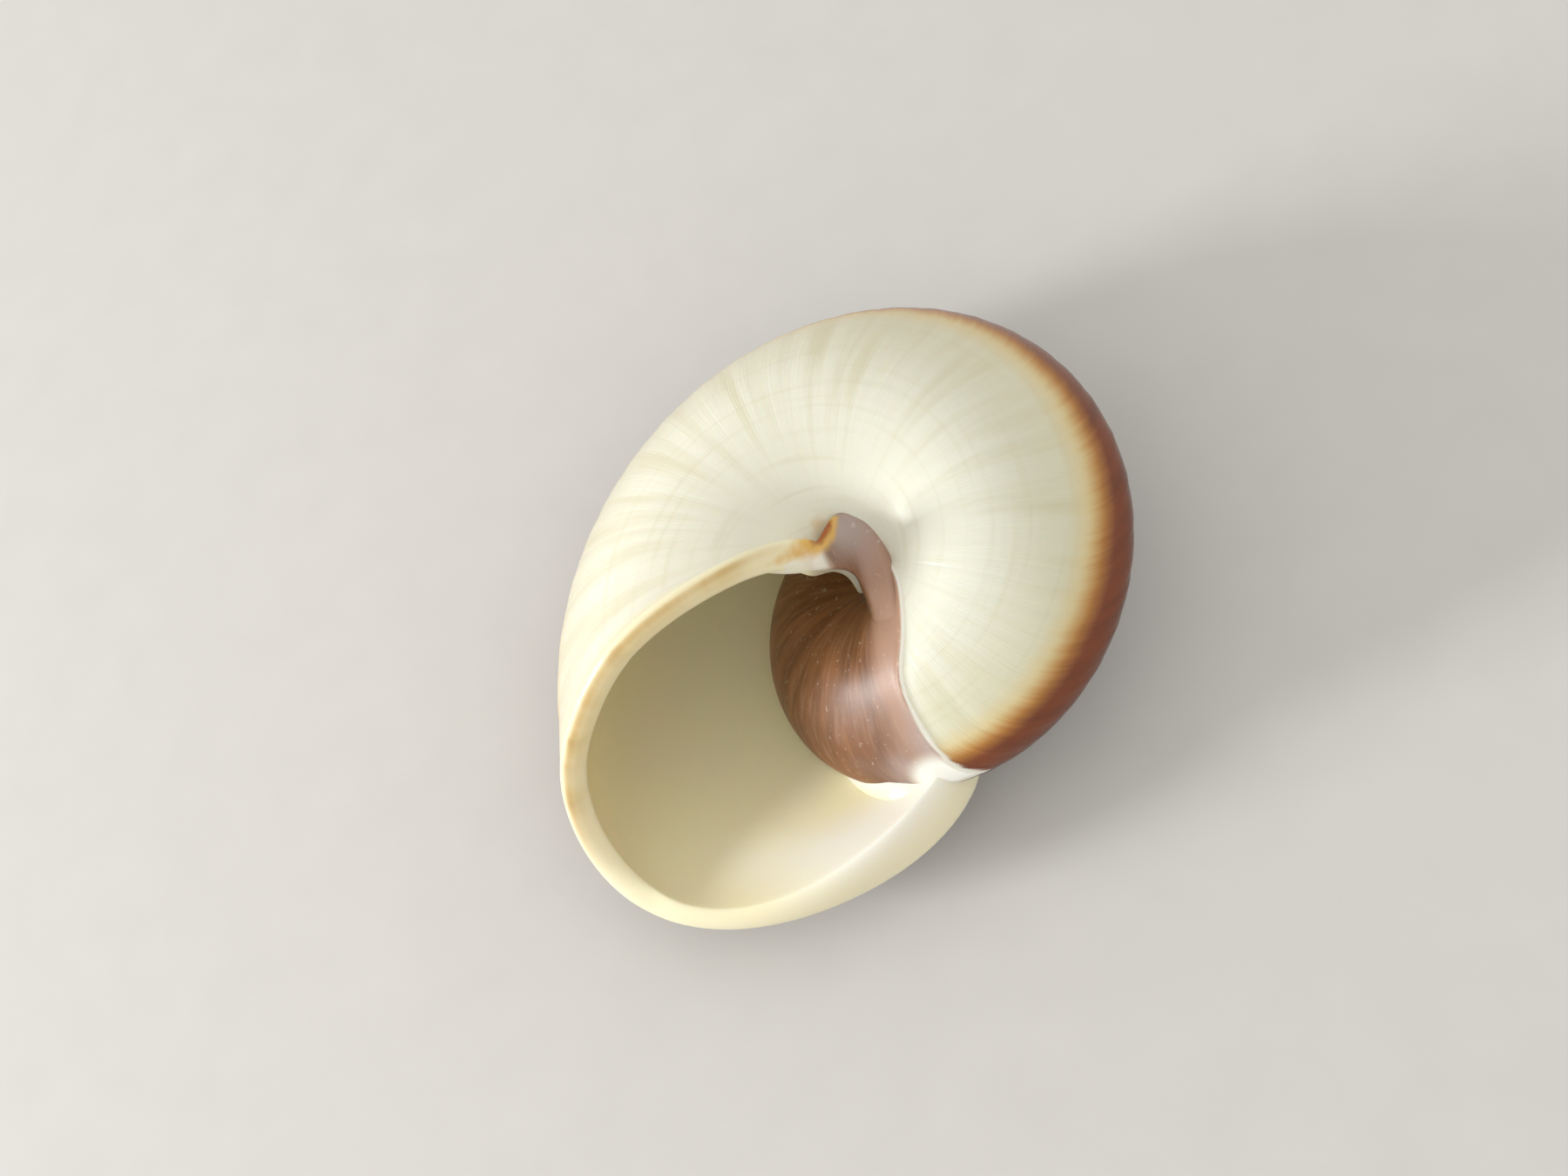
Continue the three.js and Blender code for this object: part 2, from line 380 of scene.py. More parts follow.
def callus_limits(turn, place):
    """Share of the callus that is left by the suture and by the lip."""
    return smoothstep(*CALLUS_SUTURE, place) * (1 - smoothstep(*CALLUS_TOP_TURNS, turn))


def callus_mask(turn, place):
    return smoothstep(0, CALLUS_FADE, callus_inset(turn, place)) * callus_limits(turn, place)


def callus_height(turn, place):
    inset = callus_inset(turn, place)
    bead = CALLUS_BEAD * bell(inset, CALLUS_BEAD_WIDTH, CALLUS_BEAD_WIDTH)
    return (CALLUS_DEPTH * smoothstep(0, CALLUS_FADE, inset) + bead) * callus_limits(turn, place)


def ripple_height(turn, place):
    """Low waves along the growth, which die out towards the axis."""
    waves = [height * np.sin(2 * np.pi * turn / length + start) for height, length, start in RIPPLES]
    glazed = 1 - RIPPLE_LOSS_ON_CALLUS * callus_mask(turn, place)
    return sum(waves) * smoothstep(*RIPPLE_REACH, spread(turn, place)[0]) * glazed


def outer_move(turn, place):
    return flare_at(turn, place) + callus_height(turn, place) + ripple_height(turn, place) - SKIN_SINK


# Rings of the tube. Each row keeps these fields. The side is 0 outside, 1 inside and between on the rim.

FIELDS = ("turn", "place", "side", "callus")


def ring_places(count):
    """Places round the tube, closer together where the shell shows than where the whorls join."""
    first, last = SHOWN_PLACES
    shown = np.linspace(first, last, int(count * SHOWN_SHARE), endpoint=False)
    joined_over = np.linspace(last, first + PLACES, count - len(shown), endpoint=False)
    return np.sort(np.concatenate([shown, joined_over]) % PLACES)


def turns_between(*stops):
    """Turns from stop to stop: each stop after the first comes with the step that leads to it."""
    turns = [np.array([stops[0]], float)]
    for step, stop in zip(stops[1::2], stops[2::2]):
        start = turns[-1][-1]
        count = max(1, round(abs(stop - start) / step))
        turns.append(np.linspace(start, stop, count + 1)[1:])
    return np.concatenate(turns)


def rows(turns, places, outward, forward, side):
    turn = turns[:, None] + 0 * places
    place = places + 0 * turns[:, None]
    turn = turn + lip_back(turn, place)
    points = laid_down(skin_point(turn, place, outward(turn, place), forward(turn, place)))
    callus = callus_mask(turn, place) * (side == 0)
    return {"points": points, "turn": turn, "place": place, "side": side + 0 * turn, "callus": callus}


def level(turn, place):
    return 0 * turn


def outer_rows(turns, places):
    return rows(turns, places, outer_move, level, 0)


def inner_rows(turns, places):
    return rows(turns, places, lambda turn, place: -wall_at(turn, place), level, 1)


def mid_wall_rows(turn, places):
    turns = np.array([turn], float)
    return rows(turns, places, lambda turn, place: -wall_at(turn, place) / 2, level, 1)


def rim_row(share, places):
    """Row of the rounded rim, at a share of the way from the outside of the lip to its inside."""
    angle = math.pi * share

    def outward(turn, place):
        outside = outer_move(turn, place)
        inside = -wall_at(turn, place)
        return (outside + inside) / 2 + (outside - inside) / 2 * math.cos(angle)

    def forward(turn, place):
        return (LIP_ROUNDING - lip_dent(place)) * math.sin(angle)

    return rows(np.zeros(1), places, outward, forward, share)


def stacked(parts):
    return {key: np.concatenate([part[key] for part in parts]) for key in ("points", *FIELDS)}


# Meshes

rest_turn = np.array(
    Matrix.Rotation(math.radians(REST_LEAN[0]), 3, "X")
    @ Matrix.Rotation(math.radians(REST_LEAN[1]), 3, "Y")
    @ Matrix.Rotation(math.radians(REST_LEAN[2]), 3, "Z")
)


def laid_down(points):
    return points @ rest_turn.T + APEX_PLACE


def new_object(name, data):
    made = bpy.data.objects.new(name, data)
    bpy.context.scene.collection.objects.link(made)
    return made


def set_corner_values(mesh, name, values):
    layer = mesh.attributes.new(name, "FLOAT", "CORNER")
    layer.data.foreach_set("value", values.astype(np.float32).ravel())


def set_corner_normals(mesh, normals):
    layer = mesh.attributes.new("own_normal", "FLOAT_VECTOR", "CORNER")
    layer.data.foreach_set("vector", normals.astype(np.float32).ravel())


def corner_values(mesh, name):
    values = np.empty(len(mesh.loops), np.float32)
    mesh.attributes[name].data.foreach_get("value", values)
    return values


def corner_normals(mesh):
    values = np.empty(len(mesh.loops) * 3, np.float32)
    mesh.attributes["own_normal"].data.foreach_get("vector", values)
    return values.reshape(-1, 3)


def vertex_points(mesh):
    points = np.empty(len(mesh.vertices) * 3, np.float32)
    mesh.vertices.foreach_get("co", points)
    return points.reshape(-1, 3).astype(float)


def corner_vertices(mesh):
    vertices = np.empty(len(mesh.loops), np.int32)
    mesh.loops.foreach_get("vertex_index", vertices)
    return vertices


def quad_corners(row_count, column_count, bored):
    """Row and column of each quad's four corners. Past the last one they are counted on, not from 0 again."""
    row, column = np.meshgrid(np.arange(row_count), np.arange(column_count), indexing="ij")
    if not bored:
        row, column = row[:-1], column[:-1]
    row, column = row.ravel(), column.ravel()
    corner_row = np.stack([row, row + 1, row + 1, row], -1)
    corner_column = np.stack([column, column, column + 1, column + 1], -1)
    return corner_row, corner_column


def cap_faces(row_count, column_count):
    """Triangles that close both ends of a tube, round two tips that come after its own vertices."""
    first_tip = row_count * column_count
    last_tip = first_tip + 1
    last_row = (row_count - 1) * column_count
    faces = []
    for column in range(column_count):
        after = (column + 1) % column_count
        faces.append([first_tip, column, after])
        faces.append([last_tip, last_row + after, last_row + column])
    return faces


def tube_object(name, grid, bored):
    """Closed mesh through ring rows. A bored tube joins its last row to its first, another one is capped."""
    points = grid["points"]
    row_count, column_count = points.shape[:2]
    corner_row, corner_column = quad_corners(row_count, column_count, bored)
    quads = corner_row % row_count * column_count + corner_column % column_count
    vertices = points.reshape(-1, 3).tolist()
    faces = quads.tolist()

    along = np.roll(points, -1, 0) - np.roll(points, 1, 0) if bored else np.gradient(points, axis=0)
    across = np.roll(points, -1, 1) - np.roll(points, 1, 1)
    normals = unit(np.cross(along, across)).reshape(-1, 3)[quads.ravel()]
    fields = {key: grid[key].ravel()[quads] for key in FIELDS}
    all_round_the_lip = np.ptp(grid["place"][0]) > PLACES / 2
    if all_round_the_lip:
        fields["place"] += np.where(corner_column == column_count, PLACES, 0)

    if not bored:
        vertices += [points[0].mean(0).tolist(), points[-1].mean(0).tolist()]
        faces += cap_faces(row_count, column_count)
        middles = points.mean(1)
        cap_normals = unit(np.array([middles[0] - middles[1], middles[-1] - middles[-2]]))
        corner_end = np.tile(np.repeat([0, 1], 3), column_count)
        normals = np.concatenate([normals, cap_normals[corner_end]])
        for key in FIELDS:
            cap_values = grid[key][[0, -1]].mean(1)[corner_end]
            fields[key] = np.concatenate([fields[key].ravel(), cap_values])

    mesh = bpy.data.meshes.new(name)
    mesh.from_pydata(vertices, [], faces)
    set_corner_normals(mesh, normals)
    for key, values in fields.items():
        set_corner_values(mesh, key, values)
    return new_object(name, mesh)


def mouth_tube(places):
    outside = outer_rows(turns_between(MOUTH_END, MOUTH_STEP, -LIP_FLARE_SPAN, LIP_STEP, 0), places)
    rim = [rim_row(step / (RIM_STEPS + 1), places) for step in range(1, RIM_STEPS + 1)]
    inside = inner_rows(turns_between(0, MOUTH_STEP, -INSIDE_LIP_SPAN, INSIDE_STEP, MOUTH_END), places)
    tip = mid_wall_rows(MOUTH_END - POINTED_END_TURN, places)
    return tube_object("mouth_tube", stacked([outside, *rim, inside, tip]), True)


def hollow_tube(places):
    turns = turns_between(HOLLOW_END, HOLLOW_STEP, CALLUS_STEP_START, CALLUS_STEP, MOUTH_END)
    outside = outer_rows(turns, places)
    inside = inner_rows(turns_between(MOUTH_END, DEEP_INSIDE_STEP, HOLLOW_END), places)
    first_tip = mid_wall_rows(HOLLOW_END - POINTED_END_TURN, places)
    last_tip = mid_wall_rows(MOUTH_END + POINTED_END_TURN, places)
    return tube_object("hollow_tube", stacked([outside, last_tip, inside, first_tip]), True)


def spire_tube(number, places):
    end = HOLLOW_END - number * SPIRE_PIECE_TURN
    turns = turns_between(end - SPIRE_PIECE_TURN, SPIRE_STEP + SPIRE_STEP_GROWTH * number, end)
    return tube_object("spire_tube", outer_rows(turns, places), False)


def glaze_grid(points, turn, place, side, callus):
    """Ring rows of a piece added to the tube, with fields that are even or go along its rows or across."""
    fields = zip(FIELDS, (turn, place, side, callus))
    return {"points": points, **{name: np.zeros(points.shape[:2]) + values for name, values in fields}}


def pillar():
    """Pillar about the axis that the whorls wind round, made as a tube of level rings from the top down."""
    dome_angle = np.radians(np.linspace(PILLAR_DOME_START, 0, PILLAR_DOME_ROWS))
    dome_top = PILLAR_FOOT_HEIGHT + PILLAR_FOOT_DOME
    flank_heights = np.linspace(dome_top, PILLAR_TOP, PILLAR_FLANK_ROWS)[1:]
    heights = [*(dome_top + PILLAR_FOOT_DOME * np.sin(dome_angle)), *flank_heights]
    radii = [*(-PILLAR_SLOPE * dome_top * np.cos(dome_angle)), *(-PILLAR_SLOPE * flank_heights)]
    angle = np.linspace(0, 2 * np.pi, PILLAR_RING_POINTS, endpoint=False)
    points = np.array([
        np.stack([radius * np.cos(-angle), radius * np.sin(-angle), height + 0 * angle], -1)
        for radius, height in zip(radii, heights)
    ])[::-1]
    return tube_object("pillar", glaze_grid(laid_down(points), PILLAR_TURN, PILLAR_PLACE, 0, 1), False)


def columellar_lip():
    """Lip that is turned back over the umbilicus: a sheet rolled from its crease over to the mouth edge."""
    crease, middle, edge, foot = COLUMELLAR_LIP.transpose(1, 0, 2)
    dived = crease - COLUMELLAR_DIVE * COLUMELLAR_OUTWARD
    across = np.stack([dived, crease, middle, edge, foot])
    front = eased_net(across, COLUMELLAR_FRONT_POINTS, COLUMELLAR_SOFTNESS_ACROSS)
    depth = np.interp(np.arange(len(COLUMELLAR_LIP)), *COLUMELLAR_BACK.T)
    back = middle - depth[:, None] * COLUMELLAR_OUTWARD
    rings = np.concatenate([front, back[None]]).transpose(1, 0, 2)
    points = eased_net(rings, COLUMELLAR_ROWS, COLUMELLAR_SOFTNESS_ALONG)

    last_row = len(rings) - 1
    row = np.linspace(0, last_row, COLUMELLAR_ROWS)[:, None]
    turn = np.interp(row, [0, last_row], COLUMELLAR_TURNS)
    place = np.linspace(*COLUMELLAR_PLACES, points.shape[1])
    callus = 1 - smoothstep(*COLUMELLAR_GLAZE_ENDS, row)
    return tube_object("columellar_lip", glaze_grid(points, turn, place, 0, callus), False)


def joined(first, others):
    """Mesh of the first piece joined with the others, which are used up."""
    for other in others:
        join = first.modifiers.new("join", "BOOLEAN")
        join.operation = "UNION"
        join.solver = "MANIFOLD"
        join.object = other
    depsgraph = bpy.context.evaluated_depsgraph_get()
    mesh = bpy.data.meshes.new_from_object(
        first.evaluated_get(depsgraph), preserve_all_data_layers=True, depsgraph=depsgraph)
    for made in [first, *others]:
        bpy.data.objects.remove(made)
    return mesh


def join_line(mesh):
    """Where the inside of the lip meets the older whorl, as curves over the turn of the inside:
    the place on the inside, and the turn and the place on the older whorl."""
    vertices = corner_vertices(mesh)
    side, turn, place = (corner_values(mesh, name) for name in ("side", "turn", "place"))

    def mean_at(values, chosen):
        count = np.bincount(vertices, chosen, len(mesh.vertices))
        return np.bincount(vertices, values * chosen, len(mesh.vertices)) / np.maximum(count, 1), count > 0

    first_older, last_older = JOIN_OLDER_TURNS
    nearly = 0.01
    inside = side > 1 - nearly
    older = (side < nearly) & (turn < last_older) & (turn > first_older)
    inside_turn, touches_inside = mean_at(turn, inside)
    inside_place, _ = mean_at(place % PLACES, inside)
    older_turn, touches_older = mean_at(turn, older)
    older_place, _ = mean_at(place, older)
    found = touches_inside & touches_older
    found &= (inside_turn > FILLET_START - JOIN_MARGIN) & (inside_place < JOIN_LAST_PLACE)
    return [np.polynomial.Polynomial.fit(inside_turn[found], values[found], JOIN_CURVE_DEGREE)
            for values in (inside_place, older_turn, older_place)]


def bezier(controls, count):
    """Points along Bezier curves, closer together at the ends. There may be many curves side by side."""
    degree = len(controls) - 1
    t = (1 - np.cos(np.linspace(0, np.pi, count))) / 2
    weights = [math.comb(degree, k) * t ** k * (1 - t) ** (degree - k) for k in range(degree + 1)]
    return sum(np.multiply.outer(weight, control) for weight, control in zip(weights, controls))


def fillet(mesh):
    """Concave fillet of callus in the join of the older whorl and the inside of the lip."""
    place_of, older_turn_of, older_place_of = join_line(mesh)
    turn = np.linspace(FILLET_START, 0, FILLET_ROWS)
    place, older_turn, older_place = place_of(turn), older_turn_of(turn), older_place_of(turn)
    share = smoothstep(*FILLET_WIDTH_GROWS, turn) * (1 - smoothstep(*FILLET_WIDTH_ENDS, turn))
    share += FILLET_LEAST_SHARE
    on_lip = place + FILLET_WIDTH_ON_LIP * share / spread(turn, place)[1]
    on_older = older_place + FILLET_WIDTH_ON_WHORL * share / spread(older_turn, older_place)[1]

    def lip_point(place):
        return laid_down(skin_point(turn, place, FILLET_TUCK - wall_at(turn, place), 0 * turn))

    def older_point(place):
        outward = outer_move(older_turn, place) - FILLET_TUCK
        return laid_down(skin_point(older_turn, place, outward, 0 * turn))

    nudge = 0.02
    lip_side = lip_point(on_lip)
    older_side = older_point(on_older)
    width = np.linalg.norm(lip_side - older_side, axis=-1, keepdims=True)
    from_lip = lip_side + FILLET_RUN_ON_LIP * width * unit(lip_point(on_lip - nudge) - lip_side)
    from_older = older_side + FILLET_RUN_ON_WHORL * width * unit(older_point(on_older - nudge) - older_side)
    face = bezier([lip_side, from_lip, from_older, older_side], FILLET_FACE_POINTS)
    corner = lip_point(place)
    sunk = corner + FILLET_SUNK * unit(corner - (lip_side + older_side) / 2)
    points = np.concatenate([face, sunk[None]]).transpose(1, 0, 2)
    across = np.append(np.linspace(0, 1, len(face)), 1)
    side = 1 - smoothstep(*FILLET_COLOUR_CHANGE, across)
    grid = glaze_grid(points, older_turn[:, None], FILLET_PLACE, side, across ** 2)
    return tube_object("fillet", grid, False)


def joined_shell():
    places = ring_places(RING_POINTS)
    spire_places = ring_places(SPIRE_RING_POINTS)
    spire = [spire_tube(0, places)]
    spire += [spire_tube(number, spire_places) for number in range(1, SPIRE_PIECES)]
    mesh = joined(mouth_tube(places), [pillar(), columellar_lip(), hollow_tube(places), *spire])
    return joined(new_object("joined", mesh), [fillet(mesh)])


def nearness(points, marks):
    """Strength of the nearest soft spot at each point."""
    spots = []
    for *middle, reach, strength in marks:
        distance = np.linalg.norm(points - np.array(middle), axis=-1)
        spots.append(strength * bell(distance, 0, reach))
    return np.max(spots, axis=0)


def finished_mesh():
    """Shell in metres, none of it below the floor, with its marks and its own smooth normals."""
    mesh = joined_shell()
    mesh.name = "snail_shell"
    points = vertex_points(mesh)
    points[:, 2] = np.maximum(points[:, 2], 0)
    mesh.vertices.foreach_set("co", (points * METRE).ravel())
    mesh.update()
    vertices = corner_vertices(mesh)
    stain_marks = eased_net(STAIN_PATH, STAIN_SPOTS, STAIN_SOFTNESS)
    for name, marks in (("stain", stain_marks), ("lavender", LAVENDER_MARKS), ("white", WHITE_MARKS)):
        set_corner_values(mesh, name, nearness(points, marks)[vertices])
    per_turn, _ = spread(corner_values(mesh, "turn"), corner_values(mesh, "place"))
    set_corner_values(mesh, "reach", smoothstep(*STREAK_REACH, per_turn))
    mesh.shade_smooth()
    mesh.normals_split_custom_set(unit(corner_normals(mesh)).tolist())
    mesh.attributes.remove(mesh.attributes["own_normal"])
    mesh.update()
    return mesh


# Paints

def paint(red, green, blue):
    """Linear colour from the three 0 to 255 screen values."""
    def linear(value):
        value /= 255
        return value / 12.92 if value <= 0.04045 else ((value + 0.055) / 1.055) ** 2.4
    return (linear(red), linear(green), linear(blue), 1)


IVORY = paint(236, 232, 213)
BEIGE = paint(210, 200, 166)
YELLOW = paint(224, 200, 146)
TAN = paint(186, 128, 54)
ORANGE_BROWN = paint(122, 56, 14)
RED_BROWN = paint(72, 30, 12)
LIP_CREAM = paint(238, 229, 196)
LIP_TAN = paint(212, 190, 128)
LIP_OCHRE = paint(188, 152, 84)
INSIDE_CREAM = paint(240, 232, 194)
# Warm tint of the painted glow just inside the outer lip
PAINTED_GLOW_WARM = paint(228, 180, 116)
CALLUS_BROWN = paint(146, 98, 62)
CALLUS_DARK = paint(112, 72, 42)
# Mauve of the callus lines, also used for the painted lit strip along the callus edge
CALLUS_MAUVE = paint(188, 152, 132)
LAVENDER = paint(178, 162, 156)
PAD_WHITE = paint(244, 240, 228)
STAIN = paint(156, 82, 16)
STAIN_EDGE = paint(218, 176, 96)
FLOOR_GREY = paint(206, 204, 200)
FLOOR_PALE = paint(212, 210, 206)

# Places between which the colours change, from the brown spire side over to the ivory base
RED_TO_ORANGE_BROWN = (1.7, 2.7)
BROWN_TO_TAN = (2.7, 3.05)
TAN_TO_YELLOW = (2.9, 3.25)
YELLOW_TO_IVORY = (3.05, 3.55)
BAND_RAGGEDNESS = 0.12
# Places over which the base turns beige towards the brown
IVORY_TO_BEIGE = (4.8, 3.5)
# Turns over which a painted lit strip pales the callus towards its edge, and the outside turns cream at the
# lip
CALLUS_PAINTED_LIT_STRIP = (-306.0, -288.0)
LIP_TURNS_CREAM = (-7.0, -2.0)
# Where the side turns from outside to inside, and where the fine growth lines stop on the rim
OUTSIDE_TO_INSIDE = (0.35, 0.95)
LINES_STOP = (0.3, 0.0)
# Masks with two sides: where each rises and where it falls, over the turn, the place, the side or the callus
PAINTED_GLOW_TURNS = ((-16.0, -3.0), (0.5, -4.0))
PAINTED_GLOW_PLACES = ((2.8, 3.4), (5.4, 4.4))
RIM_SIDE = ((0.08, 0.3), (0.98, 0.4))
RIM_LINE_SIDE = ((0.14, 0.24), (0.46, 0.3))
WORN_PLACES = ((2.4, 3.2), (7.2, 6.0))
CALLUS_EDGE_LINE = ((0.05, 0.4), (0.95, 0.6))
# White pad: places and turns over which it fades in
PAD_PLACES = (1.6, 0.8)
PAD_TURNS = (-26.0, -8.0)
# Noise on the growth: scale on the turn, scale on the place, detail
STREAKS = (0.16, 0.35, 2.0)
LINES = (0.8, 0.5, 2.0)
SPIRALS = (0.012, 9.0, 2.0)
FINE_LINES = (1.6, 0.4, 3.0)
CALLUS_STREAKS = (0.11, 0.5, 3.0)
CALLUS_LINES = (0.5, 1.2, 2.0)
RIM_WEAR = (0.3, 2.5, 3.0)
# Noise in space: scale per metre
FLECK_SCALE = 1800.0
BLOTCH_SCALE = 700.0
CLOUD_SCALE = 120.0
NOISE_MIDDLE = 0.5
# Values of a noise or a mark that a colour comes in over
STREAKS_IN_IVORY = (0.42, 0.75)
LINES_IN_IVORY = (0.5, 0.8)
SPIRALS_IN_IVORY = (0.5, 0.75)
STREAKS_IN_BROWN = (0.4, 0.7)
STREAKS_IN_CALLUS = (0.35, 0.7)
LINES_IN_CALLUS = (0.45, 0.8)
FLECKS_IN_CALLUS = (0.66, 0.8)
WHITE_IN_CALLUS = (0.2, 0.7)
CLOUDS_INSIDE = (0.35, 0.7)
WEAR_ON_RIM = (0.25, 0.7)
STAIN_LIMIT = (0.05, 0.3)
STAIN_EDGE_SHOWS = (0.2, 0.65)
STAIN_SHOWS = (0.6, 0.95)
# How uneven the stain is, and the least wear on the rim
STAIN_BLOTCHINESS = 0.5
LEAST_RIM_WEAR = 0.5
# Share of the tint where a mark is full
STREAK_SHARE = 0.6
LINE_SHARE = 0.25
SPIRAL_SHARE = 0.25
BEIGE_SHARE = 0.5
BROWN_STREAK_SHARE = 0.35
CALLUS_LINE_SHARE = 0.3
PAINTED_LIT_STRIP_SHARE = 0.75
FLECK_SHARE = 0.22
CALLUS_EDGE_LINE_SHARE = 0.8
PAINTED_GLOW_SHARE = 0.7
RIM_TAN_SHARE = 0.8
RIM_OCHRE_SHARE = 0.6
# Polish: depth of the fine growth lines, their strength and the top of their noise, how rough the shell is
# between and on them, and how the callus changes that
LINE_DEPTH = 0.2
LINE_STRENGTH = 0.2
LINE_TOP = 0.7
ROUGH_BETWEEN_LINES = 0.3
ROUGH_ON_LINES = 0.22
ROUGHER_ON_CALLUS = 0.12
LINES_LEFT_ON_CALLUS = 0.05
# Light that glows through the shell, and how deep it goes
GLOW_WEIGHT = 0.3
GLOW_RADIUS = (1.0, 0.6, 0.35)
GLOW_DEPTH = 3
# Mottle of the floor: noise scale over its whole width, and how rough it is
FLOOR_SCALE = 900.0
FLOOR_ROUGHNESS = 0.9


# Nodes

# Sockets of the colour mixing node
MIX_FIRST = 6
MIX_SECOND = 7
MIX_RESULT = 2


def set_inputs(tree, node, inputs):
    """An input given a socket is linked to it, and another one is set to the value."""
    for key, value in inputs.items():
        if isinstance(value, bpy.types.NodeSocket):
            tree.links.new(value, node.inputs[key])
        else:
            node.inputs[key].default_value = value


def add(tree, kind, inputs, **settings):
    node = tree.nodes.new(kind)
    for name, value in settings.items():
        setattr(node, name, value)
    set_inputs(tree, node, inputs)
    return node


def field(tree, name):
    return add(tree, "ShaderNodeAttribute", {}, attribute_name=name).outputs["Fac"]


def maths(tree, operation, first, second):
    return add(tree, "ShaderNodeMath", {0: first, 1: second}, operation=operation).outputs[0]


def product(tree, first, *others):
    for other in others:
        first = maths(tree, "MULTIPLY", first, other)
    return first


def ranged(tree, value, low, high, to_low=0.0, to_high=1.0):
    inputs = {"Value": value, "From Min": low, "From Max": high, "To Min": to_low, "To Max": to_high}
    return add(tree, "ShaderNodeMapRange", inputs, interpolation_type="SMOOTHSTEP").outputs["Result"]


def between(tree, value, rise, fall):
    """Mask that rises over one range of the value and falls over the other."""
    return product(tree, ranged(tree, value, *rise), ranged(tree, value, *fall))


def mixed(tree, share, first, second):
    inputs = {"Factor": share, MIX_FIRST: first, MIX_SECOND: second}
    return add(tree, "ShaderNodeMix", inputs, data_type="RGBA").outputs[MIX_RESULT]


def tinted(tree, colour, tint, mask, share):
    """Colour with a tint laid over it where the mask is, by a share at most."""
    return mixed(tree, product(tree, mask, share), colour, tint)


def grain(tree, turn, place, noise):
    """Noise drawn out along the growth lines or round the spiral, by how it is scaled on the two."""
    turn_scale, place_scale, detail = noise
    scaled = {"X": product(tree, turn, turn_scale), "Y": product(tree, place, place_scale)}
    where = add(tree, "ShaderNodeCombineXYZ", scaled).outputs[0]
    return add(tree, "ShaderNodeTexNoise", {"Vector": where, "Scale": 1.0, "Detail": detail}).outputs["Fac"]


def speckle(tree, scale):
    """Noise in the resting shell's own space."""
    where = add(tree, "ShaderNodeTexCoord", {}).outputs["Object"]
    return add(tree, "ShaderNodeTexNoise", {"Vector": where, "Scale": scale, "Detail": 1.0}).outputs["Fac"]


# Colours of the shell

def base_colour(tree, streaks, lines, spirals, place, reach):
    """Ivory with beige growth streaks and faint spiral lines."""
    streaked = product(tree, ranged(tree, streaks, *STREAKS_IN_IVORY), reach)
    lined = product(tree, ranged(tree, lines, *LINES_IN_IVORY), reach)
    ivory = tinted(tree, IVORY, BEIGE, streaked, STREAK_SHARE)
    ivory = tinted(tree, ivory, BEIGE, lined, LINE_SHARE)
    ivory = tinted(tree, ivory, BEIGE, ranged(tree, spirals, *SPIRALS_IN_IVORY), SPIRAL_SHARE)
    return tinted(tree, ivory, BEIGE, ranged(tree, place, *IVORY_TO_BEIGE), BEIGE_SHARE)


def outside_colour(tree, turn, place, reach):
    """Brown spire side that pales over tan and yellow into the ivory base, along a ragged edge."""
    streaks = grain(tree, turn, place, STREAKS)
    lines = grain(tree, turn, place, LINES)
    spirals = grain(tree, turn, place, SPIRALS)
    ivory = base_colour(tree, streaks, lines, spirals, place, reach)
    ragged = product(tree, maths(tree, "SUBTRACT", lines, NOISE_MIDDLE), BAND_RAGGEDNESS)
    band = maths(tree, "ADD", place, ragged)
    brown = mixed(tree, ranged(tree, band, *RED_TO_ORANGE_BROWN), RED_BROWN, ORANGE_BROWN)
    brown = tinted(tree, brown, RED_BROWN, ranged(tree, streaks, *STREAKS_IN_BROWN), BROWN_STREAK_SHARE)
    brown = mixed(tree, ranged(tree, band, *BROWN_TO_TAN), brown, TAN)
    brown = mixed(tree, ranged(tree, band, *TAN_TO_YELLOW), brown, YELLOW)
    return mixed(tree, ranged(tree, band, *YELLOW_TO_IVORY), brown, ivory)


def callus_colour(tree, turn, place, lavender, white):
    """Purple-brown glaze with soft streaks, paler along its edge where a lit strip is painted, lavender and
    white where it ends.
    """
    streaks = grain(tree, turn, place, CALLUS_STREAKS)
    lines = grain(tree, turn, place, CALLUS_LINES)
    glaze = mixed(tree, ranged(tree, streaks, *STREAKS_IN_CALLUS), CALLUS_DARK, CALLUS_BROWN)
    glaze = tinted(tree, glaze, CALLUS_MAUVE, ranged(tree, lines, *LINES_IN_CALLUS), CALLUS_LINE_SHARE)
    # Painted light: the glaze is paled towards its edge as a lit strip, over the turns given.
    glaze = tinted(tree, glaze, CALLUS_MAUVE, ranged(tree, turn, *CALLUS_PAINTED_LIT_STRIP), PAINTED_LIT_STRIP_SHARE)
    glaze = mixed(tree, lavender, glaze, LAVENDER)
    flecks = ranged(tree, speckle(tree, FLECK_SCALE), *FLECKS_IN_CALLUS)
    glaze = tinted(tree, glaze, PAD_WHITE, flecks, FLECK_SHARE)
    return mixed(tree, ranged(tree, white, *WHITE_IN_CALLUS), glaze, PAD_WHITE)


def glazed_colour(tree, outside, glaze, callus):
    """Callus over the outside, with a white line along its edge."""
    colour = mixed(tree, callus, outside, glaze)
    edge = between(tree, callus, *CALLUS_EDGE_LINE)
    return tinted(tree, colour, PAD_WHITE, edge, CALLUS_EDGE_LINE_SHARE)


def inside_colour(tree, turn, place, white):
    """Cream inside, with a painted glow, warm where light comes through the outer lip, and a white pad in the
    lip's corner.
    """
    clouds = speckle(tree, CLOUD_SCALE)
    cream = mixed(tree, ranged(tree, clouds, *CLOUDS_INSIDE), INSIDE_CREAM, LIP_CREAM)
    # Painted glow: a warm tint just inside the outer lip, where light comes through the thin wall.
    near_lip = between(tree, turn, *PAINTED_GLOW_TURNS)
    outer_side = between(tree, place, *PAINTED_GLOW_PLACES)
    cream = tinted(tree, cream, PAINTED_GLOW_WARM, product(tree, near_lip, outer_side), PAINTED_GLOW_SHARE)
    pad = product(tree, ranged(tree, place, *PAD_PLACES), ranged(tree, turn, *PAD_TURNS))
    return mixed(tree, maths(tree, "MAXIMUM", pad, white), cream, PAD_WHITE)


